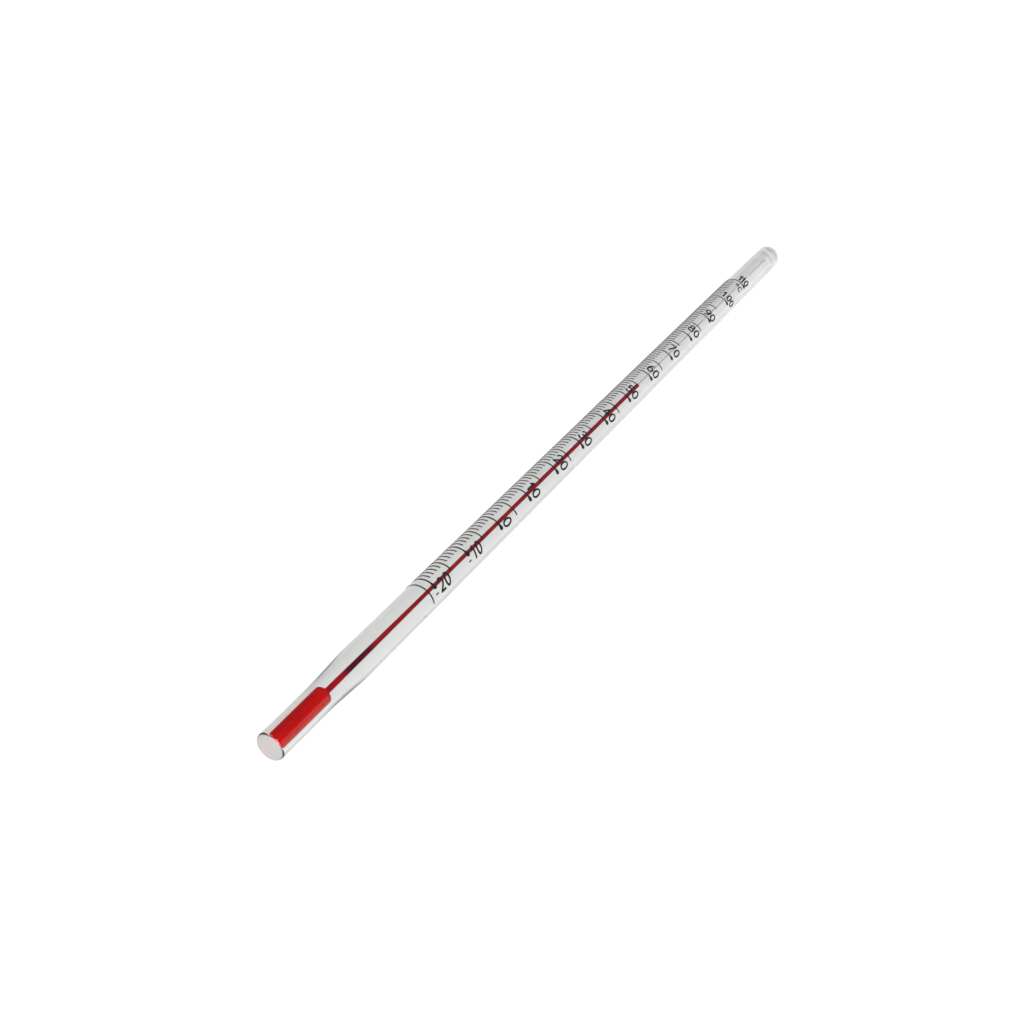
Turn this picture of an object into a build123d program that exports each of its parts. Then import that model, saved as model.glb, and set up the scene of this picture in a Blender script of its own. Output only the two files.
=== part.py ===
from build123d import *
import math
import os

# A solid-stem spirit thermometer, -20 to 110 degrees Celsius, lying on its side.
# All lengths are in millimetres and all angles in degrees.
#
# Row frame: the stem lies along +X with its bulb at -X, and rests on z = 0.
# Stem frame: the same directions, with the origin at the bulb's tip, on the stem's axis.
# Everything is built in the stem frame and moved once, in write_node.
#
# Places along the stem are distances from the bulb's tip. Places round the stem are
# scale angles: 0 is the line that the scale faces the reader with, and a positive angle
# is to the right of it, when the bulb is at the bottom.

# ---- stem and bulb glass ----
LENGTH = 249.6
STEM_R = 3.5
BULB_R = 2.9
TIP_FLAT_R = 2.3  # the bulb's end is melted flat, with a round corner
TIP_CORNER = 0.6
TAPER_START = 12.6  # the bulb's straight wall ends and widens towards the stem
TAPER_END = 28.6
BULB_JOINT = 17.2  # where the bulb's glass is fused to the capillary tube
SEAL_JOINT = 235.6  # above this the tube has been melted shut

# ---- reservoir, bore and expansion chamber ----
RESERVOIR_R = 1.08
RESERVOIR_TIP = 0.8
RESERVOIR_DOME = 0.9  # length of the reservoir's rounded lower end
SHOULDER_START = 15.5
SHOULDER_END = 16.3
NECK_BORE_R = 0.35
NECK_END = 48.0  # the neck's bore narrows evenly down to the scale's bore here
BORE_R = 0.23
CHAMBER_START = 236.8
CHAMBER_END = 241.0
CHAMBER_R = 0.33

# ---- the scale ----
ZERO_AT = 76.85  # place of the 0 degree line
PER_DEGREE = 1.29
LOWEST_MARK = -20
HIGHEST_MARK = 110
READING = 57  # what the column reads at rest
BASE_RING_AT = 48.8
INK = 0.06  # thickness of the fired print

# The direction that scale angle 0 faces, from +Y towards +Z.
SCALE_FACING = 127.0

LINES_START = -112.0  # all lines start here, behind the stem's left side
MINOR_END = -29.0
FIVE_END_SHORT = 6.0
FIVE_END_LONG = 28.0
HIGHEST_FIVE_END = -25.0  # the 105 degree line is hardly longer than its neighbours
DOT_AT = 21.5
DOT_AT_BELOW_ZERO = 4.0
BASE_RING_START = -176.0
BASE_RING_END = 46.0

MINOR_WIDTH = 0.30
FIVE_WIDTH = 0.34
TEN_WIDTH = 0.37
BASE_RING_WIDTH = 0.31
DOT_R = 0.52
DOT_TAIL = 1.1

# ---- numerals ----
DIGIT_HEIGHT = 2.72
DIGIT_WIDTH = 1.40
NARROW_WIDTH = 1.08  # digits of the numbers of three digits
STROKE = 0.46

# Scale angle of each digit, from left to right.
DIGITS_OF_ZERO = (21.5,)
DIGITS_BELOW_HUNDRED = (-10.5, 21.5)
DIGITS_OF_HUNDRED = (-17.0, 11.0, 38.0)
DIGITS_OF_HUNDRED_AND_TEN = (-18.0, -3.0, 18.0)

# The numbers don't all stand at the same height above their lines.
DIGIT_GAP_ABOVE_LINE = 1.5
GAP_CHANGES = {0: -0.25, 20: 0.5, 50: 0.35, 70: 0.4, 80: 0.85, 90: -0.65, 100: -0.4, 110: -0.7}

SIDEWAYS_HEIGHT = 2.45  # the two numbers below zero read along the stem
SIDEWAYS_WIDTH = 1.35
SIDEWAYS_PITCH = 2.15
SIDEWAYS_PITCH_AFTER_ONE = 1.85
SIDEWAYS_FOOT_AT = 34.0  # scale angle of the foot of those digits
SIDEWAYS_START = 1.35  # from the line to the first digit
SIDEWAYS_SLANT = 0.2
MINUS_AT = 27.5
MINUS_LENGTH = 0.9
MINUS_STROKE = 0.27
MINUS_BEFORE_LINE = 0.45

UNIT_AT = 215.0
UNIT_HEIGHT = 2.1
UNIT_WIDTH = 1.15
UNIT_STROKE = 0.42
UNIT_LETTER_AT = 17.0  # scale angles of the two marks
DEGREE_RING_AT = -6.0
DEGREE_RING_R = 0.36

# ---- the moving top of the column ----
COLUMN_TOP_LENGTH = 12.0
COLUMN_CLEARANCE = 0.02
MENISCUS_DEPTH = 0.10

# Handle lengths of a Bezier curve, as shares of its two radii, that make it a quarter
# of an ellipse.
QUARTER_ROUND = 0.552

TO_ROW_FRAME = Pos(-LENGTH / 2, 0, STEM_R)


def place_of(reading):
    """Distance from the bulb's tip to the line of a reading."""
    return ZERO_AT + reading * PER_DEGREE


def outward(angle):
    """Unit vector out of the stem at a scale angle."""
    world = math.radians(SCALE_FACING + angle)
    return Vector(0, math.cos(world), math.sin(world))


def rightward(angle):
    """Unit vector along the stem's surface towards larger scale angles."""
    return outward(angle + 90)


def quarter_turn(start, end):
    """A curve that leaves start straight outwards and reaches end along the stem."""
    across = (end[1] - start[1]) * QUARTER_ROUND
    along = (end[0] - start[0]) * QUARTER_ROUND
    return Bezier(start, (start[0], start[1] + across), (end[0] - along, end[1]), end)


def turned(start, end, *outline):
    """Solid of revolution round the stem's axis, from an outline that leaves and meets it."""
    profile = make_face([*outline, Line((start, 0), (end, 0))])
    return revolve(profile, Axis.X)


# ---- glass ----


def glass_blank():
    """The whole fused glass body from tip to top, before its hollows."""
    tip = Line((0, 0), (0, TIP_FLAT_R))
    corner = quarter_turn((0, TIP_FLAT_R), (TIP_CORNER, BULB_R))
    wall = Line((TIP_CORNER, BULB_R), (TAPER_START, BULB_R))
    taper = Spline(
        (TAPER_START, BULB_R), (TAPER_END, STEM_R), tangents=[(1, 0), (1, 0)]
    )
    stem = Line((TAPER_END, STEM_R), (LENGTH - STEM_R, STEM_R))
    side = math.sqrt(0.5)
    top = ThreePointArc(
        (LENGTH - STEM_R, STEM_R),
        (LENGTH - STEM_R * (1 - side), STEM_R * side),
        (LENGTH, 0),
    )
    return turned(0, LENGTH, tip, corner, wall, taper, stem, top)


def reservoir_hollow():
    """The space that the spirit fills in the bulb, up to where the neck's bore starts."""
    dome_end = RESERVOIR_TIP + RESERVOIR_DOME
    dome = quarter_turn((RESERVOIR_TIP, 0), (dome_end, RESERVOIR_R))
    wall = Line((dome_end, RESERVOIR_R), (SHOULDER_START, RESERVOIR_R))
    shoulder = EllipticalCenterArc(
        (SHOULDER_START, NECK_BORE_R),
        SHOULDER_END - SHOULDER_START,
        RESERVOIR_R - NECK_BORE_R,
        start_angle=0,
        arc_size=90,
    )
    end = Line((SHOULDER_END, NECK_BORE_R), (SHOULDER_END, 0))
    return turned(RESERVOIR_TIP, SHOULDER_END, dome, wall, shoulder, end)


def bore_radius_at(place):
    """The neck's bore narrows evenly from the reservoir to NECK_END."""
    share = min(1.0, (place - SHOULDER_END) / (NECK_END - SHOULDER_END))
    return NECK_BORE_R + share * (BORE_R - NECK_BORE_R)


def bore_hollow(start, end):
    """The bore between two places, with the neck's taper where it is in reach."""
    edges = [Line((start, 0), (start, bore_radius_at(start)))]
    if start < NECK_END:
        edges.append(Line((start, bore_radius_at(start)), (NECK_END, BORE_R)))
    edges.append(Line((max(start, NECK_END), BORE_R), (end, BORE_R)))
    edges.append(Line((end, BORE_R), (end, 0)))
    return turned(start, end, *edges)


def expansion_chamber():
    """The small widening that ends the bore, rounded at both ends."""
    middle = (CHAMBER_START + CHAMBER_END) / 2
    rise = Spline(
        (CHAMBER_START, BORE_R), (middle, CHAMBER_R), tangents=[(1, 0), (1, 0)]
    )
    start = Line((CHAMBER_START, 0), (CHAMBER_START, BORE_R))
    wall = Line((middle, CHAMBER_R), (CHAMBER_END - CHAMBER_R, CHAMBER_R))
    side = math.sqrt(0.5)
    end = ThreePointArc(
        (CHAMBER_END - CHAMBER_R, CHAMBER_R),
        (CHAMBER_END - CHAMBER_R * (1 - side), CHAMBER_R * side),
        (CHAMBER_END, 0),
    )
    return turned(CHAMBER_START, CHAMBER_END, start, rise, wall, end)


def glass_pieces():
    """Bulb, capillary tube and sealed end: one blown body, cut where its glass was fused."""
    body = glass_blank() - reservoir_hollow()
    body = body - bore_hollow(SHOULDER_END, CHAMBER_START) - expansion_chamber()
    bulb_cut = Plane(origin=(BULB_JOINT, 0, 0), z_dir=(1, 0, 0))
    seal_cut = Plane(origin=(SEAL_JOINT, 0, 0), z_dir=(1, 0, 0))
    bulb = split(body, bisect_by=bulb_cut, keep=Keep.BOTTOM)
    rest = split(body, bisect_by=bulb_cut, keep=Keep.TOP)
    tube = split(rest, bisect_by=seal_cut, keep=Keep.BOTTOM)
    seal = split(rest, bisect_by=seal_cut, keep=Keep.TOP)
    return bulb, tube, seal


# ---- filling ----


def column_top():
    """The moving top of the column: a plug in the bore, with a concave meniscus."""
    top = place_of(READING)
    radius = BORE_R - COLUMN_CLEARANCE
    bottom = top - COLUMN_TOP_LENGTH
    centre = top - MENISCUS_DEPTH
    start = Line((bottom, 0), (bottom, radius))
    wall = Line((bottom, radius), (top, radius))
    meniscus = TangentArc((centre, 0), (top, radius), tangent=(0, 1))
    return turned(bottom, centre, start, wall, meniscus)


# ---- printing ----


def printed_line(place, width, start_angle, end_angle):
    """A line round the stem: a thin band of print between two scale angles."""
    plane = Plane(
        origin=(0, 0, 0),
        x_dir=(1, 0, 0),
        z_dir=Vector(1, 0, 0).cross(outward(start_angle)),
    )
    section = plane * Pos(place, STEM_R + INK / 2) * Rectangle(width, INK)
    return revolve(section, Axis.X, revolution_arc=end_angle - start_angle)


def print_layer(start, end):
    """The whole layer of print round a stretch of stem, to cut marks out of."""
    section = Pos((start + end) / 2, STEM_R + INK / 2) * Rectangle(end - start, INK)
    return revolve(section, Axis.X)


def printed(flat, place, angle, sideways=False):
    """Wraps a flat drawing onto the stem, centred on a place and scale angle.

    The drawing's up is along the stem towards its top. A sideways one reads along the
    stem instead, with its up towards smaller scale angles.
    """
    x_dir = Vector(1, 0, 0) if sideways else rightward(angle)
    surface = Plane(origin=(place, 0, 0), x_dir=x_dir, z_dir=outward(angle))
    raised = Pos(0, 0, STEM_R / 2) * flat
    prism = surface * extrude(raised, STEM_R, dir=(0, 0, 1))
    box = prism.bounding_box()
    return print_layer(box.min.X - 1, box.max.X + 1) & prism


def oval(x, y, x_radius, y_radius, stroke):
    """A closed oval drawn with a pen."""
    half = stroke / 2
    outer = Ellipse(x_radius + half, y_radius + half)
    inner = Ellipse(x_radius - half, y_radius - half)
    return Pos(x, y) * (outer - inner)


def pen(edge, stroke):
    """One open stroke of a round pen."""
    flat = trace(edge, stroke)
    for end in (edge @ 0, edge @ 1):
        flat += Pos(end.X, end.Y) * Circle(stroke / 2)
    return flat


def drawing(width, height, stroke, ovals=(), lines=(), arcs=(), bends=()):
    """A character, from parts placed in a cell of 1 by 1, stretched to its real size.

    ovals: x, y, x radius, y radius. lines: start, end. arcs: x, y, x radius, y radius,
    start angle, end angle. bends: three points that an arc goes through.
    """

    def real(point):
        return (point[0] * width, point[1] * height)

    flat = Sketch()
    for x, y, x_radius, y_radius in ovals:
        flat += oval(x * width, y * height, x_radius * width, y_radius * height, stroke)
    for start, end in lines:
        flat += pen(Line(real(start), real(end)), stroke)
    for x, y, x_radius, y_radius, start_angle, covered in arcs:
        arc = EllipticalCenterArc(
            real((x, y)),
            x_radius * width,
            y_radius * height,
            start_angle=start_angle,
            arc_size=covered,
        )
        flat += pen(arc, stroke)
    for points in bends:
        flat += pen(ThreePointArc(*[real(point) for point in points]), stroke)
    return Pos(-width / 2, 0) * flat


# Each character in its cell, x to the right and y up, from (0, 0) to (1, 1).
SIX = {
    "ovals": [(0.5, 0.3, 0.46, 0.3)],
    "bends": [((0.04, 0.33), (0.26, 0.78), (0.82, 1.0))],
}
CHARACTERS = {
    "0": {"ovals": [(0.5, 0.5, 0.5, 0.5)]},
    "1": {"lines": [((0.55, 0), (0.55, 1)), ((0.55, 1), (0.15, 0.78))]},
    "2": {
        "arcs": [(0.48, 0.7, 0.46, 0.3, -35, 200)],
        "lines": [((0.857, 0.528), (0, 0)), ((0, 0), (1, 0))],
    },
    "3": {
        "arcs": [(0.46, 0.76, 0.4, 0.24, -90, 245), (0.46, 0.27, 0.48, 0.27, -155, 245)],
    },
    "4": {
        "lines": [((0.72, 0), (0.72, 1)), ((0.72, 1), (0, 0.3)), ((0, 0.3), (1, 0.3))],
    },
    "5": {
        "lines": [((0.92, 1), (0.16, 1)), ((0.16, 1), (0.1, 0.56))],
        "arcs": [(0.46, 0.32, 0.5, 0.32, -150, 287)],
    },
    "6": SIX,
    "7": {"lines": [((0, 1), (1, 1)), ((1, 1), (0.3, 0))]},
    "8": {"ovals": [(0.5, 0.76, 0.38, 0.24), (0.5, 0.27, 0.47, 0.27)]},
    "C": {"arcs": [(0.5, 0.5, 0.5, 0.5, 50, 260)]},
}


def character(name, width, height, stroke):
    """A flat character, centred across its foot."""
    if name == "9":
        six = drawing(width, height, stroke, **SIX)
        return Pos(0, height) * Rot(0, 0, 180) * six
    return drawing(width, height, stroke, **CHARACTERS[name])


def numeral(reading):
    """A number that reads across the stem, just above its line."""
    angles = {
        0: DIGITS_OF_ZERO,
        100: DIGITS_OF_HUNDRED,
        110: DIGITS_OF_HUNDRED_AND_TEN,
    }.get(reading, DIGITS_BELOW_HUNDRED)
    width = DIGIT_WIDTH if reading < 100 else NARROW_WIDTH
    foot = place_of(reading) + DIGIT_GAP_ABOVE_LINE + GAP_CHANGES.get(reading, 0)
    digits = []
    for name, angle in zip(str(reading), angles):
        flat = character(name, width, DIGIT_HEIGHT, STROKE)
        digits.append(printed(flat, foot, angle))
    return digits


def slanted(flat):
    """Leans a flat drawing over to the right, as the numbers below zero do."""
    lean = Matrix([[1, SIDEWAYS_SLANT, 0, 0], [0, 1, 0, 0], [0, 0, 1, 0]])
    return Sketch([face.transform_geometry(lean) for face in flat.faces()])


def sideways_numeral(reading):
    """A number below zero, which reads along the stem from its line upwards."""
    line = place_of(reading)
    angle = SIDEWAYS_FOOT_AT - math.degrees(SIDEWAYS_HEIGHT / 2 / STEM_R)
    middle = line + SIDEWAYS_START + SIDEWAYS_WIDTH / 2
    digits = []
    for name in str(abs(reading)):
        flat = character(name, SIDEWAYS_WIDTH, SIDEWAYS_HEIGHT, STROKE)
        flat = Pos(0, -SIDEWAYS_HEIGHT / 2) * flat
        digits.append(printed(slanted(flat), middle, angle, sideways=True))
        middle += SIDEWAYS_PITCH_AFTER_ONE if name == "1" else SIDEWAYS_PITCH
    bar = SlotOverall(MINUS_LENGTH, MINUS_STROKE)
    digits.append(printed(bar, line - MINUS_BEFORE_LINE, MINUS_AT, sideways=True))
    return digits


def unit_mark():
    """The degree sign and C, in finer print than the numbers."""
    ring_middle = UNIT_HEIGHT - DEGREE_RING_R
    ring = oval(0, ring_middle, DEGREE_RING_R, DEGREE_RING_R, UNIT_STROKE)
    letter = character("C", UNIT_WIDTH, UNIT_HEIGHT, UNIT_STROKE)
    return [
        printed(ring, UNIT_AT, DEGREE_RING_AT),
        printed(letter, UNIT_AT, UNIT_LETTER_AT),
    ]


def ten_degree_line(reading):
    """A line that swells into a dot at its right end."""
    dot_at = DOT_AT_BELOW_ZERO if reading < 0 else DOT_AT
    line = printed_line(place_of(reading), TEN_WIDTH, LINES_START, dot_at)
    swelling = Polygon(
        (0, DOT_R),
        (-DOT_TAIL, TEN_WIDTH / 2),
        (-DOT_TAIL, -TEN_WIDTH / 2),
        (0, -DOT_R),
        align=None,
    )
    dot = printed(Circle(DOT_R) + swelling, place_of(reading), dot_at)
    return line + dot


def five_degree_line(reading):
    """A line whose right end is nearer or further, by turns."""
    end = FIVE_END_LONG if reading > 0 and reading % 20 == 5 else FIVE_END_SHORT
    if reading > 100:
        end = HIGHEST_FIVE_END
    return printed_line(place_of(reading), FIVE_WIDTH, LINES_START, end)


def graduations():
    """The one, five and ten degree lines, as three lists."""
    ones, fives, tens = [], [], []
    for reading in range(LOWEST_MARK, HIGHEST_MARK + 1):
        if reading % 10 == 0:
            tens.append(ten_degree_line(reading))
        elif reading % 5 == 0:
            fives.append(five_degree_line(reading))
        else:
            ones.append(
                printed_line(place_of(reading), MINOR_WIDTH, LINES_START, MINOR_END)
            )
    return ones, fives, tens


# ---- writing ----


def write_node(name, shapes):
    """Writes one node: its solids, moved to the row frame."""
    solids = [solid for shape in shapes for solid in shape.solids()]
    placed = [TO_ROW_FRAME * solid for solid in solids]
    node = placed[0] if len(placed) == 1 else Compound(children=placed)
    node.label = name
    export_step(node, f"parts/{name}.step")


def main():
    os.makedirs("parts", exist_ok=True)

    bulb, tube, seal = glass_pieces()
    write_node("bulb_glass", [bulb])
    write_node("capillary_stem", [tube])
    write_node("end_seal", [seal])

    column_bottom = place_of(READING) - COLUMN_TOP_LENGTH
    write_node("reservoir_spirit", [reservoir_hollow()])
    write_node("spirit_thread", [bore_hollow(SHOULDER_END, column_bottom)])
    write_node("column_top", [column_top()])

    ones, fives, tens = graduations()
    write_node("minor_graduations", ones)
    write_node("five_degree_graduations", fives)
    write_node("ten_degree_graduations", tens)
    ring = printed_line(
        BASE_RING_AT, BASE_RING_WIDTH, BASE_RING_START, BASE_RING_END
    )
    write_node("scale_base_ring", [ring])

    for reading in range(LOWEST_MARK, 0, 10):
        write_node(f"numeral_minus_{-reading}", sideways_numeral(reading))
    for reading in range(0, HIGHEST_MARK + 1, 10):
        write_node(f"numeral_{reading}", numeral(reading))
    write_node("unit_mark", unit_mark())


main()
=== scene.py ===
import math

import bmesh
import bpy
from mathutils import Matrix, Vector


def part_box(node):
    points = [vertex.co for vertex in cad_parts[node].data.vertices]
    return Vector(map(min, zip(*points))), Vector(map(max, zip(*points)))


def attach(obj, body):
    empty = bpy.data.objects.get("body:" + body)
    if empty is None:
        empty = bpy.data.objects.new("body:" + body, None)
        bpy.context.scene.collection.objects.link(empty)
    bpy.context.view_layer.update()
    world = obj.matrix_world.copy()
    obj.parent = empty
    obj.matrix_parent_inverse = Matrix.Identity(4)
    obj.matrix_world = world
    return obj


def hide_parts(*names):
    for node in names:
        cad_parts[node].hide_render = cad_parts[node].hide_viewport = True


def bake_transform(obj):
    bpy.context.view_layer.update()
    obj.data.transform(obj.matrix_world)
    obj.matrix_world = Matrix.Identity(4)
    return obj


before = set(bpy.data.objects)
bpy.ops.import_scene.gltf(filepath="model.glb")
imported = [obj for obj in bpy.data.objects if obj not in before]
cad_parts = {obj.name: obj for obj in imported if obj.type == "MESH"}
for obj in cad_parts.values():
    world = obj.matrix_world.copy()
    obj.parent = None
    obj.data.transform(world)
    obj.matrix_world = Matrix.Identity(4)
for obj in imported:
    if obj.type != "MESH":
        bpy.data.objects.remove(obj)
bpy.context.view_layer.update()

MM = 0.001

# ---- the stem's own measures, read from the CAD boxes ----
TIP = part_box("bulb_glass")[0].x
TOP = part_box("end_seal")[1].x
STEM_LOW, STEM_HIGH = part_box("capillary_stem")
STEM_R = (STEM_HIGH.z - STEM_LOW.z) / 2
AXIS_Z = (STEM_HIGH.z + STEM_LOW.z) / 2
RESERVOIR_LOW, RESERVOIR_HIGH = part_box("reservoir_spirit")
RESERVOIR_R = (RESERVOIR_HIGH.z - RESERVOIR_LOW.z) / 2
NECK_LOW, NECK_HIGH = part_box("spirit_thread")
NECK_BORE_R = (NECK_HIGH.z - NECK_LOW.z) / 2
COLUMN_LOW, COLUMN_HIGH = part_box("column_top")
COLUMN_TOP = COLUMN_HIGH.x
COLUMN_CLEARANCE = 0.02 * MM
BORE_R = (COLUMN_HIGH.z - COLUMN_LOW.z) / 2 + COLUMN_CLEARANCE

# ---- profiles, as in the CAD source ----
BULB_R = 2.9 * MM
TIP_FLAT_R = 2.3 * MM
TIP_CORNER = 0.6 * MM
TAPER_START = TIP + 12.6 * MM
TAPER_END = TIP + 28.6 * MM
RESERVOIR_DOME = 0.9 * MM
SHOULDER = 0.8 * MM
NECK_END = TIP + 48.0 * MM
CHAMBER_START = TIP + 236.8 * MM
BORE_TOP = TIP + 241.0 * MM
MENISCUS_DEPTH = 0.10 * MM

# ---- the empty bore, drawn thinner than it is, because it shows only faintly ----
SEEN_BORE_R = 0.11 * MM
SEEN_CHAMBER_R = 0.20 * MM
CHAMBER_WIDENING = 1.6 * MM  # over this length the bore widens into the chamber

# ---- where the hidden ends of the pieces lie ----
HEAD_START = COLUMN_TOP - 2.5 * MM  # short enough to stay above the neck's spirit at -20
JOIN_OVERLAP = 0.02 * MM  # the head starts this far inside the thread
CAVITY_START = TIP + 47.0 * MM
THREAD_START = TIP + 8.0 * MM

# ---- fineness of the meshes ----
GLASS_FACETS = 96  # round the stem
FILLING_FACETS = 64
BORE_FACETS = 32
THREAD_STEPS = 160  # along the column, so that it stretches evenly
MENISCUS_STEPS = 8
ON_AXIS = 1e-7  # a profile point nearer to the axis than this becomes a pole

# ---- the photograph's view ----
LENS = 50.0
VIEW_HEADING = 28.6  # the view's direction over the floor, from +X towards +Y
VIEW_DOWN = 32.6
VIEW_DISTANCE = 306.9 * MM
VIEW_TARGET = Vector((-38.95 * MM, -0.61 * MM, AXIS_Z))
NEAREST_SEEN = 5 * MM

# ---- looks ----
GLASS_IOR = 1.48
GLASS_TINT = (0.72, 0.73, 0.72)
# Painted light: the tip's end face and the sealed end's last millimetres turn partly to
# diffuse grey, which fills the dark that the clear glass shows there.
TIP_FILL_GREY = (0.50, 0.49, 0.485)
TIP_CLEARNESS = 0.25
SEAL_CLEARNESS = 0.5
TIP_CLEARS_UP = (TIP + 0.02 * MM, TIP + 0.25 * MM)
SEAL_FILL_SPAN = (TOP - 4.5 * MM, TOP - 3.0 * MM)
BLACK_PRINT = ((0.006, 0.006, 0.007), (0.016, 0.016, 0.018))
GREY_PRINT = ((0.035, 0.035, 0.04), (0.075, 0.075, 0.08))
TABLE_GREYS = ((0.49, 0.49, 0.49), (0.51, 0.51, 0.51))
TABLE_GLOW = 0.64

# Colour of the spirit by distance from the tip in mm: bright in the reservoir and darker
# towards the neck, then painted shade of nearly black-red where the neck is thickest in
# glass, and crimson up the bore.
SPIRIT_COLOURS_AND_SHADE = (
    (15.0, (0.76, 0.002, 0.003)),
    (17.0, (0.60, 0.003, 0.012)),
    (21.3, (0.52, 0.004, 0.014)),
    (22.6, (0.13, 0.003, 0.020)),
    (30.0, (0.14, 0.003, 0.020)),
    (31.9, (0.46, 0.006, 0.018)),
    (60.0, (0.42, 0.014, 0.018)),
    (100.0, (0.42, 0.014, 0.028)),
    (150.0, (0.44, 0.012, 0.045)),
)

# ---- the studio's measures, in metres and watts ----
FLOOR_SIZE = 8.0
LAMP_SIZE = 1.6
KEY_PLACE = (-1.25, -1.25, 1.2)  # low, on the camera's side
KEY_POWER = 55.0
TOP_PLACE = (-0.3, 0.6, 2.0)
TOP_POWER = 19.0
WALL_LIGHT = 0.95
CEILING_LIGHT = 0.18
WALL_EDGE = (0.30, 0.42)  # sine of the height where the walls fade into the ceiling


# ---- meshes ----


def turned(name, profile, around=GLASS_FACETS, inside_out=False):
    """A smooth surface of revolution round the stem's axis, from (x, radius) points."""
    mesh = bmesh.new()
    rings = []
    for x, radius in profile:
        if radius < ON_AXIS:
            rings.append([mesh.verts.new((x, 0, AXIS_Z))])
            continue
        ring = []
        for step in range(around):
            angle = math.tau * step / around
            y = radius * math.cos(angle)
            z = AXIS_Z + radius * math.sin(angle)
            ring.append(mesh.verts.new((x, y, z)))
        rings.append(ring)
    for low, high in zip(rings, rings[1:]):
        for step in range(around):
            after = (step + 1) % around
            corners = [
                low[step % len(low)],
                low[after % len(low)],
                high[after % len(high)],
                high[step % len(high)],
            ]
            mesh.faces.new(list(dict.fromkeys(corners)))
    bmesh.ops.recalc_face_normals(mesh, faces=mesh.faces)
    if inside_out:
        bmesh.ops.reverse_faces(mesh, faces=mesh.faces)
    for face in mesh.faces:
        face.smooth = True
    data = bpy.data.meshes.new(name)
    mesh.to_mesh(data)
    mesh.free()
    piece = bpy.data.objects.new(name, data)
    bpy.context.scene.collection.objects.link(piece)
    return piece


def arc(x, radius_x, radius_y, start, end, steps, foot=0.0):
    """Points of an ellipse's arc in the profile plane, angles in degrees from +X."""
    points = []
    for step in range(steps + 1):
        angle = math.radians(start + (end - start) * step / steps)
        points.append(
            (x + radius_x * math.cos(angle), foot + radius_y * math.sin(angle))
        )
    return points


def straight(start, end, steps):
    """Points after start up to end, on a straight line in the profile plane."""
    return [
        (
            start[0] + (end[0] - start[0]) * step / steps,
            start[1] + (end[1] - start[1]) * step / steps,
        )
        for step in range(1, steps + 1)
    ]


def eased(start, end, steps):
    """Points after start up to end, on an S-curve that is level at both ends."""
    points = []
    for step in range(1, steps + 1):
        share = step / steps
        rise = share * share * (3 - 2 * share)
        points.append(
            (
                start[0] + (end[0] - start[0]) * share,
                start[1] + (end[1] - start[1]) * rise,
            )
        )
    return points


def glass_body():
    """Bulb, stem and sealed end as the one piece of glass that they are."""
    profile = [(TIP, 0)] + straight((TIP, 0), (TIP, TIP_FLAT_R), 5)
    corner = BULB_R - TIP_FLAT_R
    profile += arc(TIP + TIP_CORNER, TIP_CORNER, corner, 180, 90, 16, foot=TIP_FLAT_R)[1:]
    profile += straight(profile[-1], (TAPER_START, BULB_R), 6)
    profile += eased(profile[-1], (TAPER_END, STEM_R), 24)
    profile += straight(profile[-1], (TOP - STEM_R, STEM_R), 60)
    profile += arc(TOP - STEM_R, STEM_R, STEM_R, 90, 0, 20)[1:]
    return turned("glass_body", profile)


def empty_bore():
    """The wall of the fine bore above the column, up to the expansion chamber."""
    radius = SEEN_BORE_R
    profile = [(CAVITY_START, 0), (CAVITY_START, radius)]
    profile += straight(profile[-1], (CHAMBER_START, radius), 40)
    profile += eased(profile[-1], (CHAMBER_START + CHAMBER_WIDENING, SEEN_CHAMBER_R), 8)
    profile += arc(BORE_TOP - SEEN_CHAMBER_R, SEEN_CHAMBER_R, SEEN_CHAMBER_R, 90, 0, 8)
    return turned("empty_bore", profile, around=BORE_FACETS, inside_out=True)


def bulb_filling():
    """The spirit that never leaves: the reservoir, and the neck below the scale."""
    low = RESERVOIR_LOW.x
    high = RESERVOIR_HIGH.x
    profile = arc(low + RESERVOIR_DOME, RESERVOIR_DOME, RESERVOIR_R, 180, 90, 14)
    profile += straight(profile[-1], (high - SHOULDER, RESERVOIR_R), 6)
    rise = RESERVOIR_R - NECK_BORE_R
    profile += arc(high - SHOULDER, SHOULDER, rise, 90, 0, 12, foot=NECK_BORE_R)[1:]
    profile += straight(profile[-1], (NECK_END, BORE_R), 12)
    profile += [(NECK_END, 0)]
    return turned("bulb_filling", profile, around=FILLING_FACETS)


def column_thread():
    """The column in the bore, from inside the bulb to just under its moving top."""
    profile = [(THREAD_START, 0), (THREAD_START, BORE_R)]
    profile += straight(profile[-1], (HEAD_START, BORE_R), THREAD_STEPS)
    profile += [(HEAD_START, 0)]
    return turned("column_thread", profile, around=BORE_FACETS)


def column_head():
    """The top of the column, which wets the wall and dips in the middle."""
    start = HEAD_START - JOIN_OVERLAP
    profile = [(start, 0), (start, BORE_R)]
    profile += straight(profile[-1], (COLUMN_TOP, BORE_R), 6)
    for step in range(1, MENISCUS_STEPS + 1):
        share = 1 - step / MENISCUS_STEPS
        dip = MENISCUS_DEPTH * (1 - share * share)
        profile.append((COLUMN_TOP - dip, BORE_R * share))
    return turned("column_head", profile, around=BORE_FACETS)


# ---- materials ----


def new_material(name):
    """A node material with its Principled shader."""
    material = bpy.data.materials.new(name)
    material.use_nodes = True
    tree = material.node_tree
    return material, tree, tree.nodes["Principled BSDF"]


def noise(tree, scale, detail=3.0, stretch=(1, 1, 1)):
    """Noise in the object's own metres."""
    place = tree.nodes.new("ShaderNodeTexCoord")
    mapping = tree.nodes.new("ShaderNodeMapping")
    mapping.inputs["Scale"].default_value = stretch
    texture = tree.nodes.new("ShaderNodeTexNoise")
    texture.inputs["Scale"].default_value = scale
    texture.inputs["Detail"].default_value = detail
    tree.links.new(place.outputs["Object"], mapping.inputs["Vector"])
    tree.links.new(mapping.outputs["Vector"], texture.inputs["Vector"])
    return texture.outputs["Fac"]


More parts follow.
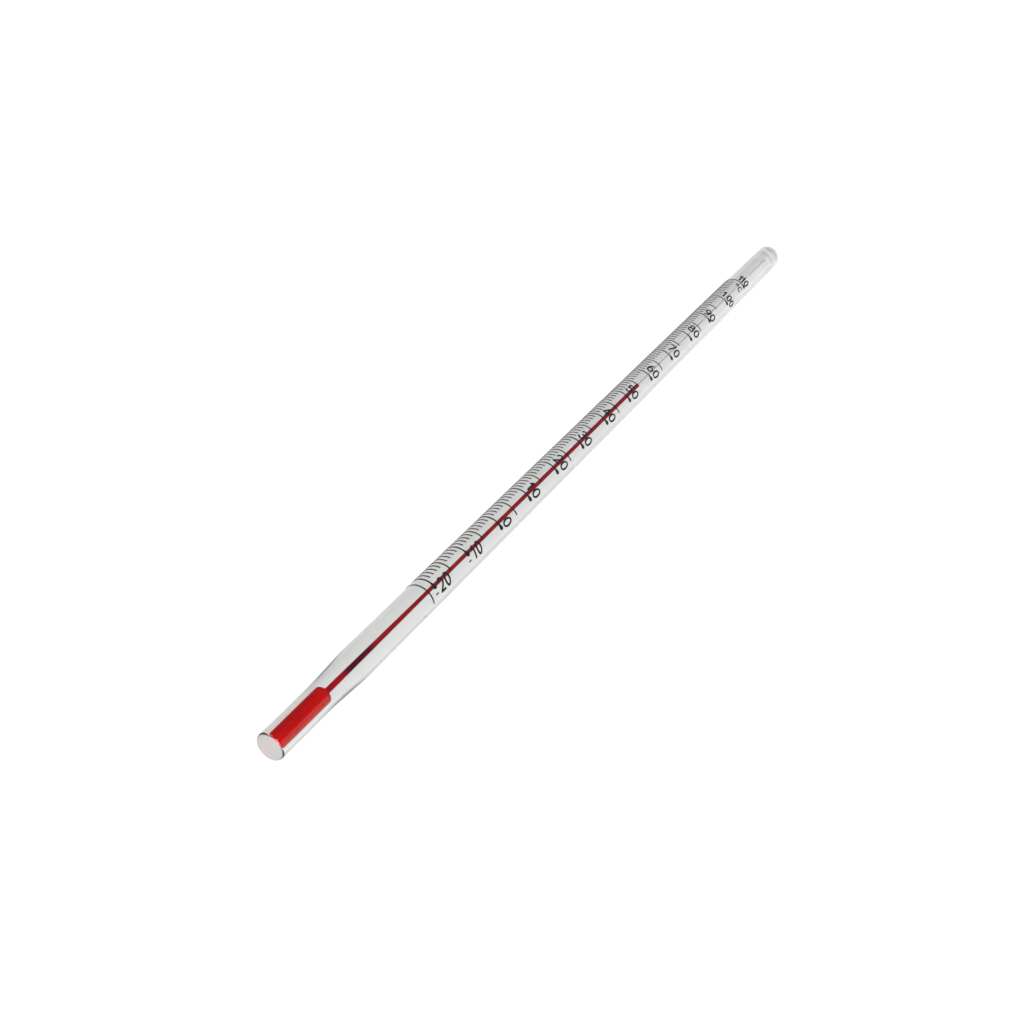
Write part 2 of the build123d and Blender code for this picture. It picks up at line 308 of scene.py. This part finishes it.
def ramp(tree, value, low, high, low_at=0.3, high_at=0.7):
    """Turns a value into a colour between two."""
    node = tree.nodes.new("ShaderNodeValToRGB")
    node.color_ramp.elements[0].position = low_at
    node.color_ramp.elements[0].color = (*low, 1)
    node.color_ramp.elements[1].position = high_at
    node.color_ramp.elements[1].color = (*high, 1)
    tree.links.new(value, node.inputs["Fac"])
    return node.outputs["Color"]


def spread(tree, value, low, high):
    """Maps 0..1 to a narrower range."""
    node = tree.nodes.new("ShaderNodeMapRange")
    node.inputs["To Min"].default_value = low
    node.inputs["To Max"].default_value = high
    tree.links.new(value, node.inputs["Value"])
    return node.outputs["Result"]


def bumped(tree, shader, value, distance, strength=1.0):
    """Raises a shader's surface by a value."""
    node = tree.nodes.new("ShaderNodeBump")
    node.inputs["Distance"].default_value = distance
    node.inputs["Strength"].default_value = strength
    tree.links.new(value, node.inputs["Height"])
    tree.links.new(node.outputs["Normal"], shader.inputs["Normal"])


def along_stem(tree, start, end):
    """How far along the stem a point is: 0 at start, 1 at end."""
    place = tree.nodes.new("ShaderNodeTexCoord")
    split = tree.nodes.new("ShaderNodeSeparateXYZ")
    share = tree.nodes.new("ShaderNodeMapRange")
    share.inputs["From Min"].default_value = start
    share.inputs["From Max"].default_value = end
    tree.links.new(place.outputs["Object"], split.inputs["Vector"])
    tree.links.new(split.outputs["X"], share.inputs["Value"])
    return share.outputs["Result"]


def glass_material():
    """Clear drawn glass with faint waves; at the tip and the top it turns partly to
    diffuse grey, painted light that fills the dark there.
    """
    material, tree, shader = new_material("clear_glass")
    shader.inputs["IOR"].default_value = GLASS_IOR
    past_tip_fill = along_stem(tree, *TIP_CLEARS_UP)
    tint = ramp(tree, past_tip_fill, TIP_FILL_GREY, GLASS_TINT, 0.0, 1.0)
    tree.links.new(tint, shader.inputs["Base Color"])
    clearness = tree.nodes.new("ShaderNodeMath")
    clearness.operation = "MULTIPLY"
    sealed = along_stem(tree, *SEAL_FILL_SPAN)
    tree.links.new(spread(tree, past_tip_fill, TIP_CLEARNESS, 1.0), clearness.inputs[0])
    tree.links.new(spread(tree, sealed, 1.0, SEAL_CLEARNESS), clearness.inputs[1])
    tree.links.new(clearness.outputs[0], shader.inputs["Transmission Weight"])
    smears = noise(tree, 300.0, 4.0, (0.25, 1, 1))
    tree.links.new(spread(tree, smears, 0.0, 0.06), shader.inputs["Roughness"])
    waves = noise(tree, 140.0, 2.0, (0.15, 1, 1))
    bumped(tree, shader, waves, 0.00002, 0.25)
    return material


def spirit_material():
    """Dyed spirit, with slow clouds of more and less dye, and painted shade where the neck
    is thickest in glass.
    """
    material, tree, shader = new_material("red_spirit")
    reach = SPIRIT_COLOURS_AND_SHADE[-1][0]
    # the ramp holds the spirit's red and the painted shade of the taper's thick glass
    colour_and_shade_bands = tree.nodes.new("ShaderNodeValToRGB")
    while len(colour_and_shade_bands.color_ramp.elements) < len(SPIRIT_COLOURS_AND_SHADE):
        colour_and_shade_bands.color_ramp.elements.new(1.0)
    for band, (place, colour) in zip(colour_and_shade_bands.color_ramp.elements, SPIRIT_COLOURS_AND_SHADE):
        band.position = place / reach
        band.color = (*colour, 1)
    share = along_stem(tree, TIP, TIP + reach * MM)
    tree.links.new(share, colour_and_shade_bands.inputs["Fac"])
    cloud = noise(tree, 420.0, 3.0, (0.3, 1, 1))
    mixed = tree.nodes.new("ShaderNodeMix")
    mixed.data_type = "RGBA"
    mixed.blend_type = "MULTIPLY"
    mixed.inputs["Factor"].default_value = 1.0
    dye = ramp(tree, cloud, (0.82, 0.82, 0.82), (1.0, 1.0, 1.0))
    tree.links.new(colour_and_shade_bands.outputs["Color"], mixed.inputs["A"])
    tree.links.new(dye, mixed.inputs["B"])
    tree.links.new(mixed.outputs["Result"], shader.inputs["Base Color"])
    shader.inputs["Roughness"].default_value = 0.35
    shader.inputs["Specular IOR Level"].default_value = 0.02
    return material


def print_material(name, low, high):
    """Fired enamel print, slightly rough and uneven."""
    material, tree, shader = new_material(name)
    grain = noise(tree, 5200.0, 4.0)
    tree.links.new(ramp(tree, grain, low, high), shader.inputs["Base Color"])
    tree.links.new(spread(tree, grain, 0.45, 0.7), shader.inputs["Roughness"])
    shader.inputs["Specular IOR Level"].default_value = 0.12
    bumped(tree, shader, grain, 0.00001, 0.4)
    return material


def floor_material():
    """A plain pale light table: it glows a little, which fills the shadows."""
    material, tree, shader = new_material("pale_floor")
    tooth = noise(tree, 900.0, 4.0)
    tree.links.new(ramp(tree, tooth, *TABLE_GREYS), shader.inputs["Base Color"])
    shader.inputs["Emission Color"].default_value = (1.0, 1.0, 1.0, 1)
    shader.inputs["Emission Strength"].default_value = TABLE_GLOW
    shader.inputs["Roughness"].default_value = 0.9
    shader.inputs["Specular IOR Level"].default_value = 0.1
    return material


# ---- the object ----


def paint(piece, material):
    """Gives a piece one material."""
    piece.data.materials.clear()
    piece.data.materials.append(material)


def make_glass():
    """The glass body and the bore inside it."""
    glass = glass_material()
    body = glass_body()
    paint(body, glass)
    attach(body, "glass")
    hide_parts("bulb_glass", "capillary_stem", "end_seal")
    bore = empty_bore()
    paint(bore, glass)
    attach(bore, "glass")


def make_spirit():
    """The filling, with the column that stretches and its moving top."""
    spirit = spirit_material()
    filling = bulb_filling()
    thread = column_thread()
    head = column_head()
    for piece in (filling, thread, head):
        paint(piece, spirit)
    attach(filling, "glass")
    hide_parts("reservoir_spirit")
    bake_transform(thread)
    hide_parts("spirit_thread")
    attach(head, "column_top")
    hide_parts("column_top")


def finish_print():
    """The printed CAD nodes keep their shapes and get their enamel."""
    black = print_material("black_print", *BLACK_PRINT)
    grey = print_material("grey_print", *GREY_PRINT)
    for name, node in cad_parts.items():
        if name == "unit_mark":
            paint(node, grey)
        elif "graduations" in name or "numeral" in name or "ring" in name:
            paint(node, black)


# ---- the studio ----


def make_floor():
    """A large plain floor under the thermometer."""
    bpy.ops.mesh.primitive_grid_add(x_subdivisions=2, y_subdivisions=2, size=FLOOR_SIZE)
    floor = bpy.context.object
    floor.name = "floor"
    paint(floor, floor_material())


def make_light(name, place, power):
    """A square soft box that faces the thermometer."""
    lamp = bpy.data.lights.new(name, "AREA")
    lamp.shape = "SQUARE"
    lamp.size = LAMP_SIZE
    lamp.energy = power
    holder = bpy.data.objects.new(name, lamp)
    holder.location = place
    aim = -Vector(place)
    holder.rotation_euler = aim.to_track_quat("-Z", "Y").to_euler()
    bpy.context.scene.collection.objects.link(holder)


def make_studio():
    """White walls under a dark ceiling, with a key and a top soft box."""
    world = bpy.data.worlds.new("studio")
    bpy.context.scene.world = world
    world.use_nodes = True
    tree = world.node_tree
    place = tree.nodes.new("ShaderNodeTexCoord")
    split = tree.nodes.new("ShaderNodeSeparateXYZ")
    walls = tree.nodes.new("ShaderNodeMapRange")
    walls.inputs["From Min"].default_value = WALL_EDGE[0]
    walls.inputs["From Max"].default_value = WALL_EDGE[1]
    walls.inputs["To Min"].default_value = WALL_LIGHT
    walls.inputs["To Max"].default_value = CEILING_LIGHT
    tree.links.new(place.outputs["Generated"], split.inputs["Vector"])
    tree.links.new(split.outputs["Z"], walls.inputs["Value"])
    surroundings = tree.nodes["Background"]
    surroundings.inputs["Color"].default_value = (1.0, 1.0, 1.0, 1)
    tree.links.new(walls.outputs["Result"], surroundings.inputs["Strength"])
    make_light("key", KEY_PLACE, KEY_POWER)
    make_light("top", TOP_PLACE, TOP_POWER)
    bpy.context.scene.view_settings.view_transform = "Standard"


def make_camera():
    """The photograph's viewing angle: low along the stem, from the bulb's end."""
    heading = math.radians(VIEW_HEADING)
    down = math.radians(VIEW_DOWN)
    forward = Vector(
        (
            math.cos(down) * math.cos(heading),
            math.cos(down) * math.sin(heading),
            -math.sin(down),
        )
    )
    camera = bpy.data.cameras.new("camera")
    camera.lens = LENS
    camera.clip_start = NEAREST_SEEN
    holder = bpy.data.objects.new("camera", camera)
    holder.location = VIEW_TARGET - forward * VIEW_DISTANCE
    holder.rotation_euler = forward.to_track_quat("-Z", "Y").to_euler()
    bpy.context.scene.collection.objects.link(holder)
    bpy.context.scene.camera = holder


make_camera()
make_glass()
make_spirit()
finish_print()
make_floor()
make_studio()
